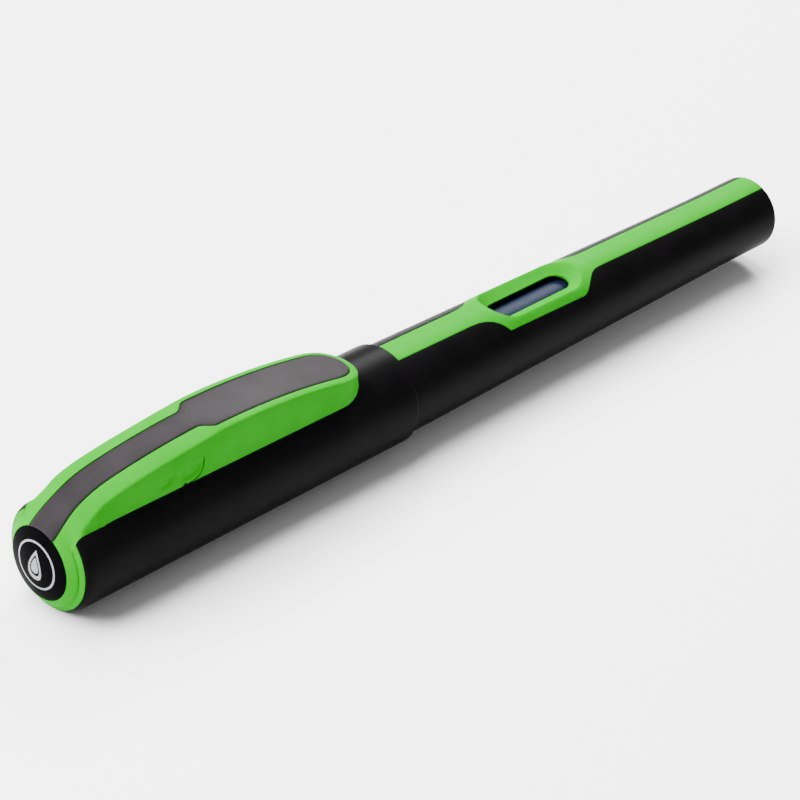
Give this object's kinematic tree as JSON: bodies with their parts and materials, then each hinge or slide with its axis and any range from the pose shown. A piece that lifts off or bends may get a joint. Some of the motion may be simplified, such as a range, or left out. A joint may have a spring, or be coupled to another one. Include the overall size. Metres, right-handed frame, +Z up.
{
  "type": "fountain pen",
  "caption": "Capped cartridge fountain pen, matte black with a green core, sprung clip with a grey inlay and an ink window in the barrel.",
  "frame": {"origin": "on the surface that the cap rests on, under the middle of the capped pen's length", "axes": "+X along the pen from the cap's closed end to the barrel's end, +Y across it, +Z up through the clip"},
  "size_m": [0.139, 0.0144, 0.0186],
  "materials": {
    "soft_black": "soft-touch coated plastic, matte with a fine grain",
    "green_plastic": "satin injection-moulded plastic, slightly waxy",
    "inlay_grey": "matte charcoal elastomer",
    "medallion_black": "satin black plastic",
    "section_black": "fine matte plastic",
    "grip_rubber": "soft ribbed rubber",
    "ring_steel": "satin steel",
    "seal_rubber": "nitrile rubber",
    "nib_steel": "polished stainless sheet with a brushed face",
    "point_alloy": "polished hard alloy bead",
    "feed_black": "etched ABS",
    "cartridge_plastic": "translucent polypropylene",
    "ball_plastic": "polished plastic",
    "ink": "liquid royal blue ink"
  },
  "bodies": {
    "section": {"grip_section": "section_black", "grip_pad": "grip_rubber", "nib": "nib_steel", "nib_point": "point_alloy", "feed": "feed_black", "feed_collar": "section_black"},
    "cap": {"cap_tube": "soft_black", "inner_cap": "green_plastic", "end_medallion": "medallion_black", "clip_base": "green_plastic", "clip_inlay_rear": "inlay_grey"},
    "clip": {"clip_arm": "green_plastic", "clip_inlay_front": "inlay_grey"},
    "ring": {"barrel_ring": "ring_steel"},
    "seal": {"o_ring": "seal_rubber"},
    "barrel": {"barrel_core": "green_plastic", "barrel_sleeve": "soft_black"},
    "cartridge": {"cartridge": "cartridge_plastic", "cartridge_ball": "ball_plastic", "ink": "ink"}
  },
  "joints": [
    {"name": "cap_pull", "type": "slide", "parent": "section", "child": "cap", "axis": [-1, 0, 0], "range_m": [0, 0.07]},
    {"name": "clip_flex", "type": "hinge", "parent": "cap", "child": "clip", "pos_m": [-0.0461, 0, 0.01835], "axis": [0, -1, 0], "range_deg": [0, 6], "stiffness_Nm_per_rad": 0.6},
    {"name": "barrel_pull", "type": "slide", "parent": "section", "child": "seal", "axis": [1, 0, 0], "range_m": [0, 0.08]},
    {"name": "thread_travel", "type": "slide", "parent": "seal", "child": "ring", "axis": [1, 0, 0], "range_m": [0, 0.0032]},
    {"name": "barrel_unscrew", "type": "hinge", "parent": "ring", "child": "barrel", "pos_m": [-0.0099, 0, 0.00725], "axis": [1, 0, 0], "range_deg": [0, 900]},
    {"name": "cartridge_pull", "type": "slide", "parent": "section", "child": "cartridge", "axis": [1, 0, 0], "range_m": [0, 0.008]}
  ],
  "couplings": [
    {"joint": "thread_travel", "follows": "barrel_unscrew", "m_per_rad": 0.00019099}
  ]
}
